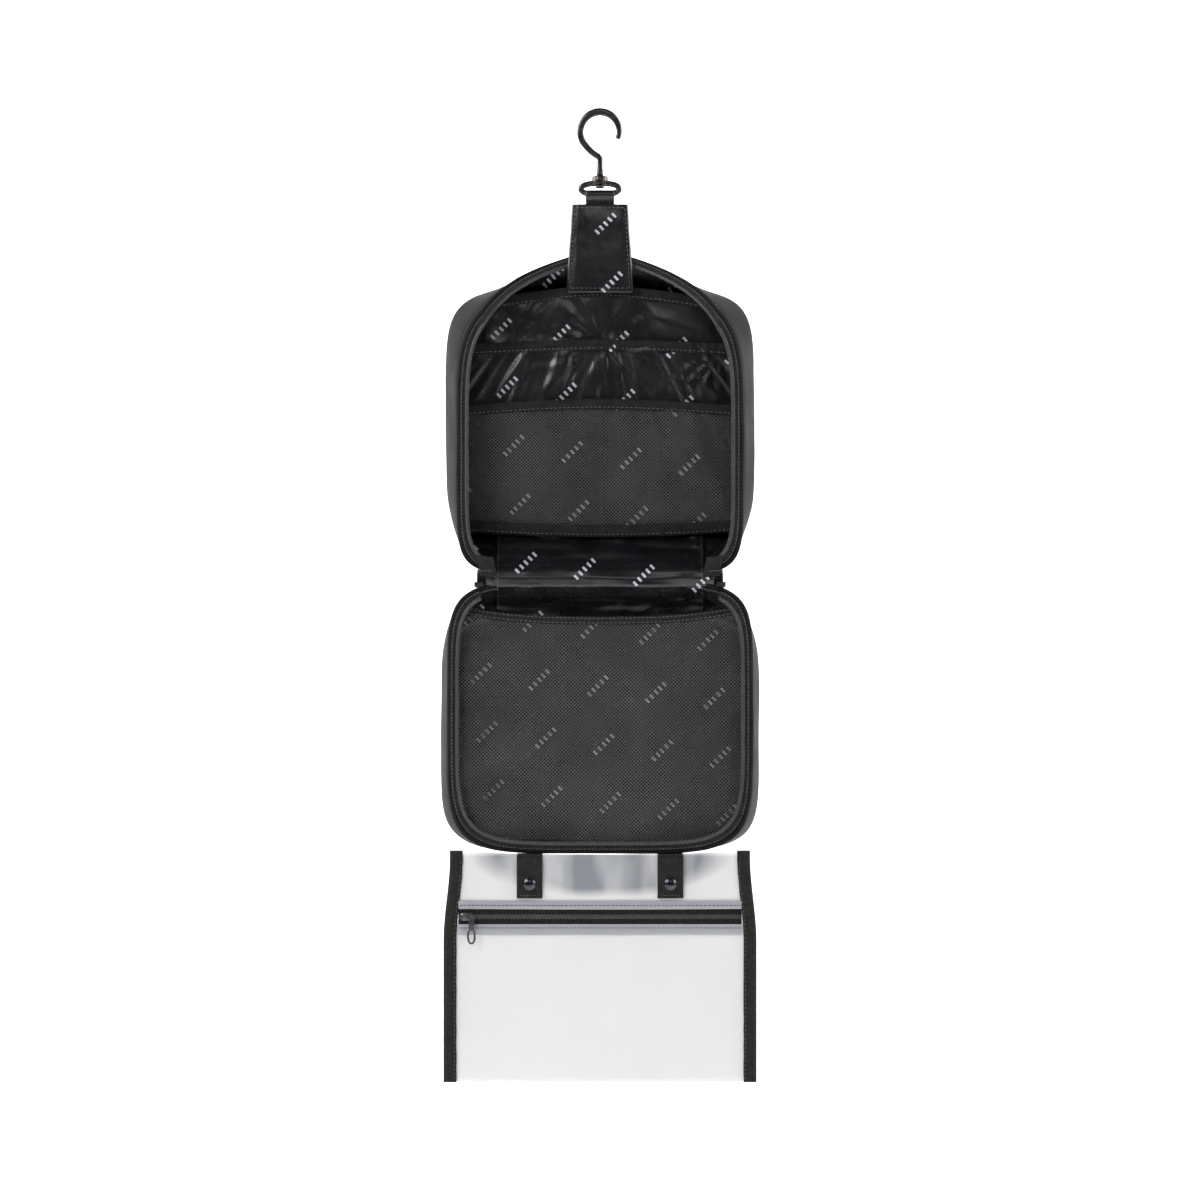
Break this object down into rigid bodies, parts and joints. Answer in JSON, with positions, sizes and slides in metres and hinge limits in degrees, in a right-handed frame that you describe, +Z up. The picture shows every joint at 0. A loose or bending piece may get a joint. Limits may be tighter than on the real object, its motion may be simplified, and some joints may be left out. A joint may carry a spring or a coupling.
{
  "type": "hanging toiletry bag",
  "caption": "Fold-out hanging toiletry bag: two zipped trays hinged together, mesh and slip pockets, a clear zip pouch held by press studs and a swivel hook on a tab.",
  "frame": {"origin": "centre of the hook's eye, where the rail passes", "axes": "+X to the right seen from the front, +Y away from the person using it, along the rail's line of sight through the eye, +Z up; the open trays face -Y"},
  "size_m": [0.2528, 0.0573, 0.76],
  "materials": {
    "coated_pu": "satin",
    "gunmetal": "satin",
    "snap_metal": "gloss",
    "pull_metal": "satin",
    "satin_lining": "satin",
    "grosgrain": "matte",
    "webbing": "matte",
    "mesh_net": "matte",
    "zip_tape": "matte",
    "zip_coil": "satin",
    "clear_vinyl": "gloss"
  },
  "bodies": {
    "hook": {"swivel_hook": "gunmetal", "hook_retainer": "gunmetal"},
    "ring": {"swivel_ring": "gunmetal"},
    "hanger": {"hanger_strap": "satin_lining", "tab_front_ply": "satin_lining", "tab_back_ply": "satin_lining"},
    "upper_tray": {"upper_back_panel": "coated_pu", "upper_gusset": "coated_pu", "upper_gusset_lining": "satin_lining", "upper_back_lining": "satin_lining", "upper_rim_piping": "coated_pu", "upper_zip_tape": "zip_tape", "upper_zip_chain": "zip_coil", "first_pocket_panel": "satin_lining", "first_pocket_band": "grosgrain", "second_pocket_panel": "satin_lining", "second_pocket_band": "grosgrain", "mesh_pocket_panel": "mesh_net", "mesh_pocket_band": "grosgrain", "pocket_foot_band": "grosgrain", "fold_lining_upper": "satin_lining", "fold_seam_cord": "coated_pu", "zip_end_tabs": "webbing"},
    "lower_tray": {"lower_back_panel": "coated_pu", "lower_gusset": "coated_pu", "lower_gusset_lining": "satin_lining", "lower_back_lining": "satin_lining", "lower_rim_piping": "coated_pu", "lower_zip_tape": "zip_tape", "lower_zip_chain": "zip_coil", "fold_lining_lower": "satin_lining", "lower_mesh_panel": "mesh_net", "lower_mesh_top_band": "grosgrain", "lower_mesh_foot_band": "grosgrain", "main_slider_left": "pull_metal", "main_slider_right": "pull_metal", "strap_roots": "webbing"},
    "main_pull_left": {"main_pull_left": "pull_metal"},
    "main_pull_right": {"main_pull_right": "pull_metal"},
    "lip_straps": {"snap_strap_left": "webbing", "snap_strap_right": "webbing", "snap_caps": "snap_metal"},
    "pouch": {"pouch_back_sheet": "clear_vinyl", "pouch_front_top": "clear_vinyl", "pouch_front_sheet": "clear_vinyl", "pouch_binding_left": "grosgrain", "pouch_binding_right": "grosgrain", "pouch_upper_hem": "clear_vinyl", "pouch_lower_hem": "clear_vinyl", "pouch_zip_tape": "zip_tape", "pouch_zip_coil": "zip_coil", "snap_studs": "snap_metal"},
    "pouch_slider": {"pouch_slider": "pull_metal"},
    "pouch_pull": {"pouch_pull": "pull_metal"}
  },
  "joints": [
    {"name": "hook_swivel", "type": "hinge", "parent": "hook", "child": "ring", "pos_m": [0, 0, -0.0378], "axis": [0, 0, 1], "continuous": true},
    {"name": "ring_pivot", "type": "hinge", "parent": "ring", "child": "hanger", "pos_m": [0, 0, -0.04905], "axis": [-1, 0, 0], "range_deg": [-80, 80]},
    {"name": "tab_fold", "type": "hinge", "parent": "hanger", "child": "upper_tray", "pos_m": [0, 0, -0.125], "axis": [1, 0, 0], "range_deg": [-173, 2]},
    {"name": "tray_fold", "type": "hinge", "parent": "upper_tray", "child": "lower_tray", "pos_m": [0, -0.0295, -0.35], "axis": [-1, 0, 0], "range_deg": [-20, 180]},
    {"name": "left_pull_lift", "type": "hinge", "parent": "lower_tray", "child": "main_pull_left", "pos_m": [-0.0945, -0.0258, -0.3567], "axis": [1, 0, 0], "range_deg": [0, 36]},
    {"name": "right_pull_lift", "type": "hinge", "parent": "lower_tray", "child": "main_pull_right", "pos_m": [0.0945, -0.0258, -0.3567], "axis": [1, 0, 0], "range_deg": [0, 36]},
    {"name": "pouch_fold", "type": "hinge", "parent": "lower_tray", "child": "lip_straps", "pos_m": [0, -0.0312, -0.567], "axis": [1, 0, 0], "range_deg": [-175, 45]},
    {"name": "pouch_unsnap", "type": "slide", "parent": "lip_straps", "child": "pouch", "axis": [0, -1, 0], "range_m": [-0.008, 0]},
    {"name": "pouch_zip", "type": "slide", "parent": "pouch", "child": "pouch_slider", "axis": [1, 0, 0], "range_m": [0, 0.206]},
    {"name": "pouch_pull_swing", "type": "hinge", "parent": "pouch_slider", "child": "pouch_pull", "pos_m": [-0.1, -0.0338, -0.61515], "axis": [-1, 0, 0], "range_deg": [0, 150]}
  ]
}
